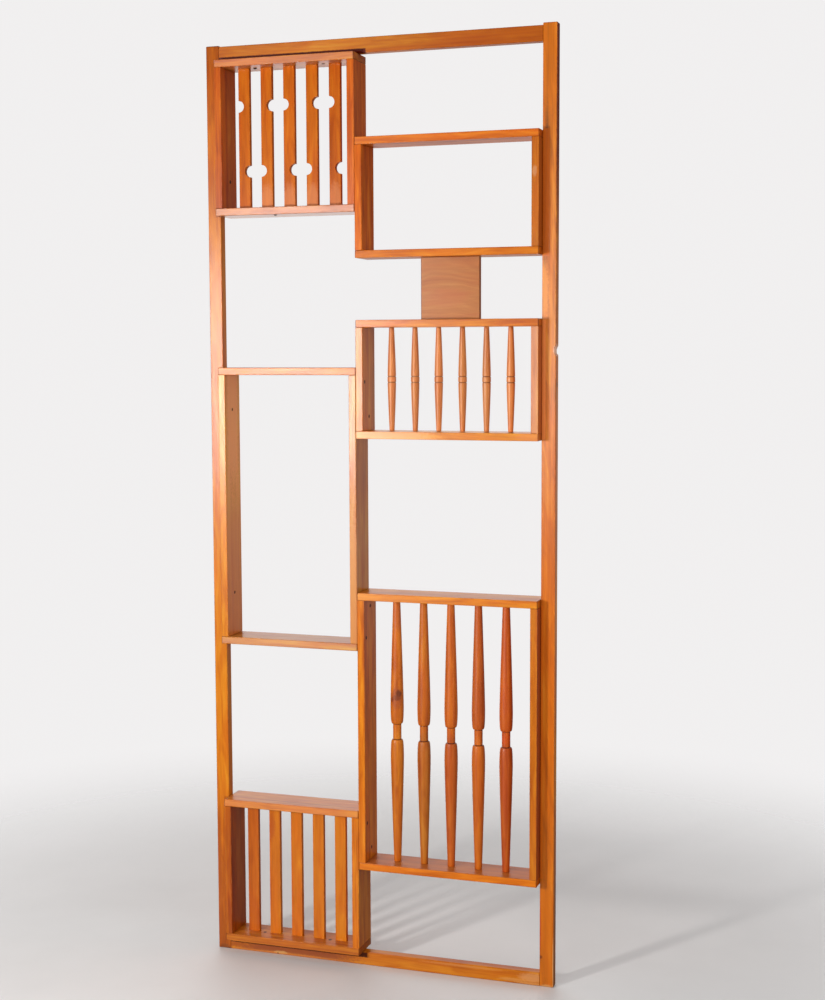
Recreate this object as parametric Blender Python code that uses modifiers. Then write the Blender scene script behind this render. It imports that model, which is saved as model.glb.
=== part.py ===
"""Wooden room divider: a tall open frame of two stiles and two rails that
carries six shallow board boxes, set one above the other in two columns.

Frame of reference: +X to the right seen from the front, +Y towards the back,
+Z up.  The origin is on the floor, midway between the outer faces of the two
stiles and in the middle plane of the frame.  All lengths are in metres.

How it goes together
  * the rails are tenoned blind into the stiles
  * each box has a top and a bottom board that run over the ends of two side
    boards; a stopped tongue on each side board sits in a groove
  * the flat slats have stub tenons, the turned spindles and balusters have
    round pins, let into the top and bottom boards of their box
  * a square block, tongued at both ends, ties two of the boxes together
  * countersunk wood screws hold the boxes to the frame and to each other
"""
import math

import bmesh
import bpy
from mathutils import Matrix, Vector

# ------------------------------------------------------------ dimensions ---
GAP = 0.0003                 # clearance between any two faces that meet

# outer frame
WIDTH = 0.930                # over the stiles
RIGHT_STILE_H = 2.400
LEFT_STILE_H = 2.397
STILE_W = 0.036              # face width of a stile
FRAME_D = 0.026              # thickness of stiles and rails, front to back
TOP_RAIL_TOP = 2.3945        # the stiles stand a little proud of the rail
TOP_RAIL_H = 0.0385
BOTTOM_RAIL_H = 0.035        # its underside is on the floor
FRAME_ARRIS = 0.0014         # eased edge
RAIL_TENON_T = 0.008
RAIL_TENON_L = 0.022
TOP_TENON_H = 0.024
BOTTOM_TENON_H = 0.022

# boxes
BOARD_T = 0.019
BOX_D = 0.092                # front to back, centred on the frame
LEFT_BOX_W = 0.3817
RIGHT_BOX_W = 0.4754
BOARD_ARRIS = 0.0011
TONGUE_T = 0.007
TONGUE_W = 0.070
TONGUE_L = 0.008

NOTCH_BOX_H = 0.3950         # hangs right under the top rail
OPEN_BOX_Z, OPEN_BOX_H = 1.8455, 0.300
SPINDLE_BOX_Z, SPINDLE_BOX_H = 1.3905, 0.300
BALUSTER_BOX_Z, BALUSTER_BOX_H = 0.2675, 0.727
TALL_BOX_Z, TALL_BOX_H = 0.8435, 0.727
SLAT_BOX_H = 0.3875          # stands on the bottom rail

# connector block between the open box and the spindle box
BLOCK_W = 0.1540
BLOCK_T = 0.0130
BLOCK_DX = 0.0012           # off the middle of the right-hand boxes
BLOCK_TONGUE_W = 0.100
BLOCK_TONGUE_T = 0.007
BLOCK_TONGUE_L = 0.006

# flat slats
SLAT_COUNT = 5
SLAT_W = 0.031
SLAT_T = 0.013
SLAT_ARRIS = 0.0009
SLAT_TENON_W = 0.023
SLAT_TENON_T = 0.007
SLAT_TENON_L = 0.009
NOTCH_R = 0.015              # half-round notches in the upper slats
NOTCH_DZ = 0.0825            # above and below the middle of the slat

# spindles: double taper with two grooves round the middle
SPINDLE_COUNT = 6
SPINDLE_R_MID = 0.0109
SPINDLE_R_END = 0.0064
SPINDLE_TAPER = 1.3
SPINDLE_GROOVE_DZ = 0.0075
SPINDLE_GROOVE_W = 0.0026
SPINDLE_GROOVE_D = 0.0012
SPINDLE_PIN_R = 0.0045
SPINDLE_PIN_L = 0.008
SPINDLE_SIDES = 12

# balusters: two long tapers that meet at a narrow waist
BALUSTER_COUNT = 5
BALUSTER_R_MAX = 0.01725
BALUSTER_R_END = 0.0093
BALUSTER_TAPER = 1.15
BALUSTER_BELLY = 0.070       # from the middle to the widest point
BALUSTER_WAIST_R = 0.0109
BALUSTER_WAIST_HALF = 0.0195
BALUSTER_SHOULDER_R = 0.0146
BALUSTER_PIN_R = 0.0060
BALUSTER_PIN_L = 0.011
BALUSTER_SIDES = 16

# countersunk wood screws
SCREW_HEAD_R = 0.0040
SCREW_SHANK_R = 0.0020
SCREW_RIM = 0.0004
SCREW_POINT = 0.005
SCREW_L = 0.032
SCREW_SUNK = 0.0002
SCREW_SLOT_W = 0.0011
SCREW_SLOT_D = 0.0010
SCREW_SIDES = 10
SCREW_Y_FRONT = -0.030       # staggered pairs: one near the front edge,
SCREW_Y_MID = 0.0015         # one near the middle of the board

HALF_W = WIDTH / 2
LEFT_X0 = -HALF_W + STILE_W + GAP          # left boxes, outer faces
LEFT_X1 = LEFT_X0 + LEFT_BOX_W
RIGHT_X1 = HALF_W - STILE_W - GAP          # right boxes, outer faces
RIGHT_X0 = RIGHT_X1 - RIGHT_BOX_W
NOTCH_BOX_Z = TOP_RAIL_TOP - TOP_RAIL_H - GAP - NOTCH_BOX_H
SLAT_BOX_Z = BOTTOM_RAIL_H + GAP

# ------------------------------------------------------------ clean scene ---
for old in list(bpy.data.objects):
    bpy.data.objects.remove(old, do_unlink=True)

scene = bpy.context.scene
parts = bpy.data.collections.new("wooden_room_divider")
cutters = bpy.data.collections.new("cutters")
scene.collection.children.link(parts)
scene.collection.children.link(cutters)


# -------------------------------------------------------------- materials ---
def wood(name, colour, roughness):
    mat = bpy.data.materials.new(name)
    mat.use_nodes = True
    shader = mat.node_tree.nodes["Principled BSDF"]
    shader.inputs["Base Color"].default_value = (*colour, 1.0)
    shader.inputs["Roughness"].default_value = roughness
    shader.inputs["Metallic"].default_value = 0.0
    mat.diffuse_color = (*colour, 1.0)
    return mat


FRAME_WOOD = wood("frame_wood", (0.56, 0.20, 0.045), 0.32)
BOX_WOOD = wood("box_wood", (0.60, 0.22, 0.05), 0.32)
SLAT_WOOD = wood("slat_wood", (0.55, 0.18, 0.03), 0.30)
TURNED_WOOD = wood("turned_wood", (0.50, 0.16, 0.03), 0.28)
BLOCK_WOOD = wood("block_wood", (0.42, 0.20, 0.09), 0.40)
SCREW_STEEL = wood("screw_steel", (0.16, 0.12, 0.09), 0.45)
SCREW_STEEL.node_tree.nodes["Principled BSDF"].inputs["Metallic"].default_value = 1.0


# ---------------------------------------------------------------- helpers ---
def anchor(name, location):
    """Empty at the foot of a sub-assembly; its pieces are parented to it."""
    empty = bpy.data.objects.new(name, None)
    empty.empty_display_size = 0.05
    empty.location = location
    parts.objects.link(empty)
    return empty


def place(obj, parent, location):
    """Put obj at a world location under an unrotated parent empty."""
    obj.parent = parent
    obj.location = Vector(location) - parent.location


def cube_bm(size, eased="", arris=0.0):
    """Box primitive with the edges that run along the named axes eased."""
    bm = bmesh.new()
    bmesh.ops.create_cube(bm, size=1.0)
    bmesh.ops.scale(bm, vec=Vector(size), verts=bm.verts)
    if eased:
        chosen = []
        for edge in bm.edges:
            run = edge.verts[1].co - edge.verts[0].co
            axis = "xyz"[max(range(3), key=lambda i: abs(run[i]))]
            if axis in eased:
                chosen.append(edge)
        bmesh.ops.bevel(bm, geom=chosen, offset=arris, offset_type="OFFSET",
                        segments=1, profile=0.5, affect="EDGES",
                        clamp_overlap=True)
    return bm


def piece(name, bm, material, parent, location):
    mesh = bpy.data.meshes.new(name)
    bm.to_mesh(mesh)
    bm.free()
    mesh.materials.append(material)
    obj = bpy.data.objects.new(name, mesh)
    parts.objects.link(obj)
    place(obj, parent, location)
    return obj


def tool(name, bodies):
    """One helper object holding separate boxes and cylinders, placed in the
    world.  ('box', centre, size) or ('bore', centre, axis, radius, length)."""
    bm = bmesh.new()
    for body in bodies:
        if body[0] == "box":
            _, centre, size = body
            bmesh.ops.create_cube(bm, size=1.0, matrix=Matrix.Translation(centre)
                                  @ Matrix.Diagonal((*size, 1.0)))
        else:
            _, centre, axis, radius, length, sides = body
            turn = {"x": Matrix.Rotation(math.pi / 2, 4, "Y"),
                    "y": Matrix.Rotation(math.pi / 2, 4, "X"),
                    "z": Matrix.Identity(4)}[axis]
            bmesh.ops.create_cone(bm, cap_ends=True, segments=sides,
                                  radius1=radius, radius2=radius, depth=length,
                                  matrix=Matrix.Translation(centre) @ turn)
    mesh = bpy.data.meshes.new(name)
    bm.to_mesh(mesh)
    bm.free()
    return helper(bpy.data.objects.new(name, mesh))


def helper(obj):
    cutters.objects.link(obj)
    obj.hide_render = True
    obj.display_type = "WIRE"
    return obj


def boolean(obj, other, operation):
    mod = obj.modifiers.new(operation.lower(), "BOOLEAN")
    mod.solver = "EXACT"
    mod.operation = operation
    mod.object = other


def profile_object(name, profile, sides):
    """Turned shape: (radius, height) pairs from top to bottom on the +X side,
    swept once round Z."""
    mesh = bpy.data.meshes.new(name)
    verts = [(radius, 0.0, height) for radius, height in profile]
    edges = [(i, i + 1) for i in range(len(verts) - 1)]
    mesh.from_pydata(verts, edges, [])
    obj = bpy.data.objects.new(name, mesh)
    mod = obj.modifiers.new("turn", "SCREW")
    mod.axis = "Z"
    mod.angle = 2 * math.pi
    mod.steps = sides
    mod.render_steps = sides
    mod.use_merge_vertices = True
    mod.merge_threshold = 0.00001
    mod.use_smooth_shade = True
    return obj


# ------------------------------------------------------------------ frame ---
frame = anchor("frame", (0.0, 0.0, 0.0))
STILE_X = HALF_W - STILE_W / 2
RAIL_L = WIDTH - 2 * STILE_W - 2 * GAP

left_stile = piece("left_stile", cube_bm((STILE_W, FRAME_D, LEFT_STILE_H), "xyz", FRAME_ARRIS),
                   FRAME_WOOD, frame, (-STILE_X, 0, LEFT_STILE_H / 2))
right_stile = piece("right_stile", cube_bm((STILE_W, FRAME_D, RIGHT_STILE_H), "xyz", FRAME_ARRIS),
                    FRAME_WOOD, frame, (STILE_X, 0, RIGHT_STILE_H / 2))
TOP_RAIL_MID = TOP_RAIL_TOP - TOP_RAIL_H / 2
top_rail = piece("top_rail", cube_bm((RAIL_L, FRAME_D, TOP_RAIL_H), "x", FRAME_ARRIS),
                 FRAME_WOOD, frame, (0, 0, TOP_RAIL_MID))
bottom_rail = piece("bottom_rail", cube_bm((RAIL_L, FRAME_D, BOTTOM_RAIL_H), "x", FRAME_ARRIS),
                    FRAME_WOOD, frame, (0, 0, BOTTOM_RAIL_H / 2))

for rail, z, tenon_h in ((top_rail, TOP_RAIL_MID, TOP_TENON_H),
                         (bottom_rail, BOTTOM_RAIL_H / 2, BOTTOM_TENON_H)):
    tenons, mortises = [], {}
    for side, stile in ((-1, left_stile), (1, right_stile)):
        root = side * (RAIL_L / 2 - 0.006)
        tip = side * (RAIL_L / 2 + RAIL_TENON_L)
        tenons.append(("box", ((root + tip) / 2, 0, z),
                       (abs(tip - root), RAIL_TENON_T, tenon_h)))
        mouth = side * (HALF_W - STILE_W - 0.004)
        end = tip + side * GAP
        cut = tool(stile.name + "_mortise_" + rail.name,
                   [("box", ((mouth + end) / 2, 0, z),
                     (abs(end - mouth), RAIL_TENON_T + 2 * GAP, tenon_h + 2 * GAP))])
        boolean(stile, cut, "DIFFERENCE")
    boolean(rail, tool(rail.name + "_tenons", tenons), "UNION")


# ------------------------------------------------------------------ boxes ---
class Box:
    """Four boards: the top and the bottom one run over the side boards."""

    def __init__(self, name, x0, x1, z0, height):
        self.name, self.x0, self.x1 = name, x0, x1
        self.z0, self.z1 = z0, z0 + height
        self.inner_x0, self.inner_x1 = x0 + BOARD_T, x1 - BOARD_T
        self.inner_z0, self.inner_z1 = z0 + BOARD_T, z0 + height - BOARD_T
        self.anchor = anchor(name, ((x0 + x1) / 2, 0, z0))
        mid_x, width = (x0 + x1) / 2, x1 - x0
        self.top = piece(name + "_top_board", cube_bm((width, BOX_D, BOARD_T), "xyz", BOARD_ARRIS),
                         BOX_WOOD, self.anchor, (mid_x, 0, self.z1 - BOARD_T / 2))
        self.bottom = piece(name + "_bottom_board", cube_bm((width, BOX_D, BOARD_T), "xyz", BOARD_ARRIS),
                            BOX_WOOD, self.anchor, (mid_x, 0, z0 + BOARD_T / 2))
        side_h = height - 2 * BOARD_T - 2 * GAP
        mid_z = (self.z0 + self.z1) / 2
        self.sides = []
        for word, x in (("left", x0 + BOARD_T / 2), ("right", x1 - BOARD_T / 2)):
            board = piece(name + "_" + word + "_board",
                          cube_bm((BOARD_T, BOX_D, side_h), "z", BOARD_ARRIS),
                          BOX_WOOD, self.anchor, (x, 0, mid_z))
            tongues = [("box", (x, 0, mid_z + end * (side_h / 2 + TONGUE_L / 2 - 0.003)),
                        (TONGUE_T, TONGUE_W, TONGUE_L + 0.006)) for end in (-1, 1)]
            boolean(board, tool(board.name + "_tongues", tongues), "UNION")
            self.sides.append(board)
        self.left, self.right = self.sides
        # grooves for the tongues; mortises and bores are added to these lists
        self.cuts = {self.top: [], self.bottom: []}
        for board, face, way in ((self.top, self.inner_z1, 1), (self.bottom, self.inner_z0, -1)):
            for x in (x0 + BOARD_T / 2, x1 - BOARD_T / 2):
                self.socket(board, face, way, x, TONGUE_T, TONGUE_W, TONGUE_L)

    def socket(self, board, face, way, x, size_x, size_y, length):
        """Rectangular recess for a tongue or tenon whose shoulder stands one
        gap off the face and which reaches length past its shoulder."""
        outside = 0.004
        low, high = face - way * outside, face + way * length
        self.cuts[board].append(("box", (x, 0, (low + high) / 2),
                                 (size_x + 2 * GAP, size_y + 2 * GAP, abs(high - low))))

    def bore(self, board, face, way, x, radius, length, sides):
        outside = 0.004
        low, high = face - way * outside, face + way * length
        self.cuts[board].append(("bore", (x, 0, (low + high) / 2), "z",
                                 radius, abs(high - low), sides))

    def finish(self):
        for board, bodies in self.cuts.items():
            boolean(board, tool(board.name + "_sockets", bodies), "DIFFERENCE")


notch_box = Box("notched_slat_box", LEFT_X0, LEFT_X1, NOTCH_BOX_Z, NOTCH_BOX_H)
tall_box = Box("tall_open_box", LEFT_X0, LEFT_X1, TALL_BOX_Z, TALL_BOX_H)
slat_box = Box("plain_slat_box", LEFT_X0, LEFT_X1, SLAT_BOX_Z, SLAT_BOX_H)
open_box = Box("upper_open_box", RIGHT_X0, RIGHT_X1, OPEN_BOX_Z, OPEN_BOX_H)
spindle_box = Box("spindle_box", RIGHT_X0, RIGHT_X1, SPINDLE_BOX_Z, SPINDLE_BOX_H)
baluster_box = Box("baluster_box", RIGHT_X0, RIGHT_X1, BALUSTER_BOX_Z, BALUSTER_BOX_H)


# ------------------------------------------------------------------ slats ---
def slat_centres(box):
    """Five slats with equal spaces between them and at both sides."""
    space = (box.inner_x1 - box.inner_x0 - SLAT_COUNT * SLAT_W) / (SLAT_COUNT + 1)
    return [box.inner_x0 + space + SLAT_W / 2 + i * (SLAT_W + space)
            for i in range(SLAT_COUNT)]


def add_slats(box, stem, notched):
    shoulder = box.inner_z1 - box.inner_z0 - 2 * GAP
    mid_z = (box.inner_z0 + box.inner_z1) / 2
    for i, x in enumerate(slat_centres(box)):
        name = "%s_%d" % (stem, i + 1)
        slat = piece(name, cube_bm((SLAT_W, SLAT_T, shoulder), "z", SLAT_ARRIS),
                     SLAT_WOOD, box.anchor, (x, 0, mid_z))
        tenons = [("box", (x, 0, mid_z + end * (shoulder / 2 + SLAT_TENON_L / 2 - 0.003)),
                   (SLAT_TENON_W, SLAT_TENON_T, SLAT_TENON_L + 0.006)) for end in (-1, 1)]
        boolean(slat, tool(name + "_tenons", tenons), "UNION")
        if notched:
            # every second slat is turned over, so that the notches of two
            # neighbours face each other and read as one circle
            hand = 1 if i % 2 == 0 else -1
            notches = [("bore", (x - hand * SLAT_W / 2, 0, mid_z + NOTCH_DZ), "y", NOTCH_R, 0.03, 28),
                       ("bore", (x + hand * SLAT_W / 2, 0, mid_z - NOTCH_DZ), "y", NOTCH_R, 0.03, 28)]
            boolean(slat, tool(name + "_notches", notches), "DIFFERENCE")
        box.socket(box.top, box.inner_z1, 1, x, SLAT_TENON_W, SLAT_TENON_T, SLAT_TENON_L)
        box.socket(box.bottom, box.inner_z0, -1, x, SLAT_TENON_W, SLAT_TENON_T, SLAT_TENON_L)


add_slats(notch_box, "notched_slat", True)
add_slats(slat_box, "plain_slat", False)


# ----------------------------------------------------------- turned pieces ---
def even_centres(box, count):
    pitch = (box.inner_x1 - box.inner_x0) / (count + 1)
    return [box.inner_x0 + pitch * (i + 1) for i in range(count)]


def mirrored(half, pin_r, pin_l, half_l):
    """Full profile, top to bottom, from (distance, radius) pairs that run from
    the middle to the shoulder, with a chamfered pin at each end."""
    lower = [(radius, -s) for s, radius in half]
    upper = [(radius, height * -1) for radius, height in reversed(lower)]
    tip = half_l + pin_l
    head = [(0.0, tip), (pin_r - 0.0006, tip), (pin_r, tip - 0.0012), (pin_r, half_l)]
    foot = [(radius, -height) for radius, height in reversed(head)]
    middle = upper + (lower[1:] if half[0][0] == 0.0 else lower)
    return head + middle + foot


def spindle_half(half_l):
    def radius(s):
        return SPINDLE_R_MID - (SPINDLE_R_MID - SPINDLE_R_END) * (s / half_l) ** SPINDLE_TAPER

    points = [(0.0, SPINDLE_R_MID)]
    for s, sink in ((SPINDLE_GROOVE_DZ - SPINDLE_GROOVE_W / 2, 0.0),
                    (SPINDLE_GROOVE_DZ, SPINDLE_GROOVE_D),
                    (SPINDLE_GROOVE_DZ + SPINDLE_GROOVE_W / 2, 0.0)):
        points.append((s, radius(s) - sink))
    steps = 3
    start = SPINDLE_GROOVE_DZ + SPINDLE_GROOVE_W / 2
    for k in range(1, steps + 1):
        s = start + (half_l - start) * k / steps
        points.append((s, radius(s)))
    return points


def baluster_half(half_l):
    points = [(BALUSTER_WAIST_HALF, BALUSTER_WAIST_R),
              (BALUSTER_WAIST_HALF + 0.0036, BALUSTER_SHOULDER_R)]
    # the shoulder swells to the belly in a quarter of an ellipse
    start = BALUSTER_WAIST_HALF + 0.0036
    for k in (0.2, 0.55, 1.0):
        rise = math.sqrt(1 - (1 - k) ** 2)
        points.append((start + (BALUSTER_BELLY - start) * k,
                       BALUSTER_SHOULDER_R + (BALUSTER_R_MAX - BALUSTER_SHOULDER_R) * rise))
    steps = 4
    for k in range(1, steps + 1):
        f = k / steps
        points.append((BALUSTER_BELLY + (half_l - BALUSTER_BELLY) * f,
                       BALUSTER_R_MAX - (BALUSTER_R_MAX - BALUSTER_R_END) * f ** BALUSTER_TAPER))
    return points


def add_turned(box, stem, count, half_profile, pin_r, pin_l, sides):
    half_l = (box.inner_z1 - box.inner_z0) / 2 - GAP
    mid_z = (box.inner_z0 + box.inner_z1) / 2
    profile = mirrored(half_profile(half_l), pin_r, pin_l, half_l)
    for i, x in enumerate(even_centres(box, count)):
        obj = profile_object("%s_%d" % (stem, i + 1), profile, sides)
        obj.data.materials.append(TURNED_WOOD)
        parts.objects.link(obj)
        place(obj, box.anchor, (x, 0, mid_z))
        box.bore(box.top, box.inner_z1, 1, x, pin_r + GAP, pin_l, 12)
        box.bore(box.bottom, box.inner_z0, -1, x, pin_r + GAP, pin_l, 12)


add_turned(spindle_box, "spindle", SPINDLE_COUNT, spindle_half,
           SPINDLE_PIN_R, SPINDLE_PIN_L, SPINDLE_SIDES)
add_turned(baluster_box, "baluster", BALUSTER_COUNT, baluster_half,
           BALUSTER_PIN_R, BALUSTER_PIN_L, BALUSTER_SIDES)

# -------------------------------------------------------- connector block ---
BLOCK_X = (RIGHT_X0 + RIGHT_X1) / 2 + BLOCK_DX
BLOCK_Z0, BLOCK_Z1 = spindle_box.z1 + GAP, open_box.z0 - GAP
BLOCK_Z = (BLOCK_Z0 + BLOCK_Z1) / 2
block = piece("connector_block", cube_bm((BLOCK_W, BLOCK_T, BLOCK_Z1 - BLOCK_Z0), "z", BOARD_ARRIS),
              BLOCK_WOOD, frame, (BLOCK_X, 0, BLOCK_Z))
boolean(block, tool("connector_block_tongues",
                    [("box", (BLOCK_X, 0, BLOCK_Z + end * ((BLOCK_Z1 - BLOCK_Z0) / 2
                                                          + BLOCK_TONGUE_L / 2 - 0.003)),
                      (BLOCK_TONGUE_W, BLOCK_TONGUE_T, BLOCK_TONGUE_L + 0.006))
                     for end in (-1, 1)]), "UNION")
open_box.socket(open_box.bottom, open_box.z0, 1, BLOCK_X,
                BLOCK_TONGUE_W, BLOCK_TONGUE_T, BLOCK_TONGUE_L)
spindle_box.socket(spindle_box.top, spindle_box.z1, -1, BLOCK_X,
                   BLOCK_TONGUE_W, BLOCK_TONGUE_T, BLOCK_TONGUE_L)

for box in (notch_box, tall_box, slat_box, open_box, spindle_box, baluster_box):
    box.finish()


# ----------------------------------------------------------------- screws ---
def screw_profile(grow, top, length):
    head, shank = SCREW_HEAD_R + grow, SCREW_SHANK_R + grow
    rim = SCREW_RIM + grow
    return [(0.0, top), (head, top), (head, -rim), (shank, -rim - (head - shank)),
            (shank, -length + (SCREW_POINT if grow == 0 else 0.0)),
            (0.0005 if grow == 0 else 0.0, -length)] + ([(0.0, -length)] if grow == 0 else [])


def aim(obj, point, drive):
    obj.rotation_mode = "QUATERNION"
    obj.rotation_quaternion = Vector((0, 0, -1)).rotation_difference(Vector(drive))
    obj.location = point


def screw_hole(name, point, drive, boards):
    """Countersunk clearance hole and pilot hole, cut through both pieces."""
    cut = helper(profile_object(name + "_hole",
                                screw_profile(GAP, 0.002, SCREW_L + 2 * GAP), SCREW_SIDES))
    aim(cut, point, drive)
    for board in boards:
        boolean(board, cut, "DIFFERENCE")


def screw(name, parent, point, drive, boards):
    screw_hole(name, point, drive, boards)
    obj = profile_object(name, screw_profile(0.0, -SCREW_SUNK, SCREW_L), SCREW_SIDES)
    obj.data.materials.append(SCREW_STEEL)
    parts.objects.link(obj)
    obj.parent = parent
    aim(obj, Vector(point) - parent.location, drive)
    slot = tool(name + "_slot", [("box", (0, 0, 0), (SCREW_SLOT_W, 2.6 * SCREW_HEAD_R,
                                                     2 * (SCREW_SLOT_D + SCREW_SUNK)))])
    aim(slot, point, drive)
    boolean(obj, slot, "DIFFERENCE")


LEFTWARDS, RIGHTWARDS, DOWN, UP = (-1, 0, 0), (1, 0, 0), (0, 0, -1), (0, 0, 1)


def beside_slats(box):
    """The middle of the first and of the last space between two slats."""
    centres = slat_centres(box)
    return (centres[0] + centres[1]) / 2, (centres[-2] + centres[-1]) / 2


# the tall box to the left stile
for i, z in enumerate((TALL_BOX_Z + 0.131, TALL_BOX_Z + TALL_BOX_H - 0.110)):
    screw("screw_tall_box_to_stile_%d" % (i + 1), tall_box.anchor,
          (tall_box.inner_x0, 0.0, z), LEFTWARDS, (tall_box.left, left_stile))
# the spindle box to the tall box, one screw near the front and one behind it
for i, (y, z) in enumerate(((SCREW_Y_FRONT, 1.5345), (SCREW_Y_MID, 1.4458))):
    screw("screw_spindle_box_to_tall_box_%d" % (i + 1), spindle_box.anchor,
          (spindle_box.inner_x0, y, z), LEFTWARDS, (spindle_box.left, tall_box.right))
# the baluster box to the tall box above and to the plain slat box below
for i, (y, z, other) in enumerate(((SCREW_Y_MID, 0.9560, tall_box), (SCREW_Y_FRONT, 0.8770, tall_box),
                                   (SCREW_Y_FRONT, 0.3888, slat_box), (SCREW_Y_MID, 0.3163, slat_box))):
    screw("screw_baluster_box_%d" % (i + 1), baluster_box.anchor,
          (baluster_box.inner_x0, y, z), LEFTWARDS, (baluster_box.left, other.right))
# the plain slat box down to the bottom rail
for i, x in enumerate(beside_slats(slat_box)):
    screw("screw_plain_slat_box_to_rail_%d" % (i + 1), slat_box.anchor,
          (x, -0.006, slat_box.inner_z0), DOWN, (slat_box.bottom, bottom_rail))

# holes for the remaining screws of the same kind
for i, x in enumerate(beside_slats(notch_box)):
    screw_hole("notched_slat_box_to_rail_%d" % (i + 1), (x, -0.003, notch_box.inner_z1), UP,
               (notch_box.top, top_rail))
screw_hole("notched_slat_box_to_stile", (notch_box.inner_x0, 0.006, 2.0515), LEFTWARDS,
           (notch_box.left, left_stile))
for i, (y, z) in enumerate(((SCREW_Y_FRONT, 2.105), (SCREW_Y_MID, 2.020))):
    screw_hole("notched_slat_box_to_open_box_%d" % (i + 1), (notch_box.inner_x1, y, z), RIGHTWARDS,
               (notch_box.right, open_box.left))
for box, inset in ((open_box, 0.075), (spindle_box, 0.075), (baluster_box, 0.120)):
    for i, z in enumerate((box.z0 + inset, box.z1 - inset)):
        screw_hole("%s_to_stile_%d" % (box.name, i + 1), (box.inner_x1, 0.0, z), RIGHTWARDS,
                   (box.right, right_stile))

bpy.context.view_layer.update()
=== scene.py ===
"""Looks of the wooden room divider: stained, varnished beech in a plain studio."""
import math
import random

import bmesh
import bpy
from mathutils import Matrix, Vector


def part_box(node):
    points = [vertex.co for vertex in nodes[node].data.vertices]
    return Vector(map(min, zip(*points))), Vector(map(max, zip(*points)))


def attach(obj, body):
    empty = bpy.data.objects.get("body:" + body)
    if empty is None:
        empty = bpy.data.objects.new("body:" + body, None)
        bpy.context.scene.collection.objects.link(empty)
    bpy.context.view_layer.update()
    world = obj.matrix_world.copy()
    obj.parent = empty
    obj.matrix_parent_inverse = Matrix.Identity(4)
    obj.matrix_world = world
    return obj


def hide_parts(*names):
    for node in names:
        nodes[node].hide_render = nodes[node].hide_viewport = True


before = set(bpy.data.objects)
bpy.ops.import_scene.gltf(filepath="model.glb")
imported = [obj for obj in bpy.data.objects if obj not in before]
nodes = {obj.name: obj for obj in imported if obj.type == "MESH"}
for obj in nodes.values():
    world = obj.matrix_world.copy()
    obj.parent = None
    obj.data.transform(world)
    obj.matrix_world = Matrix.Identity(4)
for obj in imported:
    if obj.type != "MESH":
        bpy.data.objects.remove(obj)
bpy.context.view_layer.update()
scene = bpy.context.scene
studio = bpy.data.collections.new("studio")
finish = bpy.data.collections.new("finish_pieces")
helpers = bpy.data.collections.new("helpers")
for c in (studio, finish, helpers):
    scene.collection.children.link(c)


# ================================================================ materials
class Nodes:
    """Small helper to write node trees in one line per node."""

    def __init__(self, name):
        self.mat = bpy.data.materials.new(name)
        self.mat.use_nodes = True
        self.tree = self.mat.node_tree
        self.shader = self.tree.nodes["Principled BSDF"]

    def put(self, socket, value):
        if isinstance(value, bpy.types.NodeSocket):
            self.tree.links.new(value, socket)
        elif value is not None:
            socket.default_value = value

    def add(self, kind, **settings):
        node = self.tree.nodes.new(kind)
        for key, value in settings.items():
            setattr(node, key, value)
        return node

    def math(self, operation, a, b=None, c=None, clamp=False):
        node = self.add("ShaderNodeMath", operation=operation, use_clamp=clamp)
        for socket, value in zip(node.inputs, (a, b, c)):
            self.put(socket, value)
        return node.outputs[0]

    def vec(self, operation, a, b=None, scale=None):
        node = self.add("ShaderNodeVectorMath", operation=operation)
        self.put(node.inputs[0], a)
        if b is not None:
            self.put(node.inputs[1], b)
        if scale is not None:
            self.put(node.inputs["Scale"], scale)
        return node.outputs["Value"] if operation in ("LENGTH", "DISTANCE", "DOT_PRODUCT") else node.outputs[0]

    def xyz(self, x, y, z):
        node = self.add("ShaderNodeCombineXYZ")
        for socket, value in zip(node.inputs, (x, y, z)):
            self.put(socket, value)
        return node.outputs[0]

    def split(self, v):
        node = self.add("ShaderNodeSeparateXYZ")
        self.put(node.inputs[0], v)
        return node.outputs

    def noise(self, v, scale, detail=2.0, rough=0.5, distortion=0.0, dims="3D"):
        node = self.add("ShaderNodeTexNoise", noise_dimensions=dims)
        self.put(node.inputs["W" if dims == "1D" else "Vector"], v)
        self.put(node.inputs["Scale"], scale)
        self.put(node.inputs["Detail"], detail)
        self.put(node.inputs["Roughness"], rough)
        self.put(node.inputs["Distortion"], distortion)
        return node.outputs[0]

    def span(self, value, lo, hi, to_lo=0.0, to_hi=1.0, smooth=True):
        node = self.add("ShaderNodeMapRange", interpolation_type="SMOOTHSTEP" if smooth else "LINEAR")
        self.put(node.inputs["Value"], value)
        for key, number in (("From Min", lo), ("From Max", hi), ("To Min", to_lo), ("To Max", to_hi)):
            self.put(node.inputs[key], number)
        return node.outputs[0]

    def mix(self, factor, a, b, blend="MIX"):
        node = self.add("ShaderNodeMix", data_type="RGBA", blend_type=blend)
        self.put(node.inputs[0], factor)
        self.put(node.inputs[6], a if not isinstance(a, tuple) else (*a, 1.0)[:4])
        self.put(node.inputs[7], b if not isinstance(b, tuple) else (*b, 1.0)[:4])
        return node.outputs[2]

    def ramp(self, value, stops):
        node = self.add("ShaderNodeValToRGB")
        self.put(node.inputs[0], value)
        ramp = node.color_ramp
        while len(ramp.elements) > 1:
            ramp.elements.remove(ramp.elements[-1])
        ramp.elements[0].position, ramp.elements[0].color = stops[0][0], (*stops[0][1], 1.0)
        for position, colour in stops[1:]:
            ramp.elements.new(position).color = (*colour, 1.0)
        return node.outputs[0]


AXES = {"x": (0, 1, 2), "z": (2, 0, 1), "zy": (2, 1, 0)}   # grain axis, width axis, thickness axis

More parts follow.
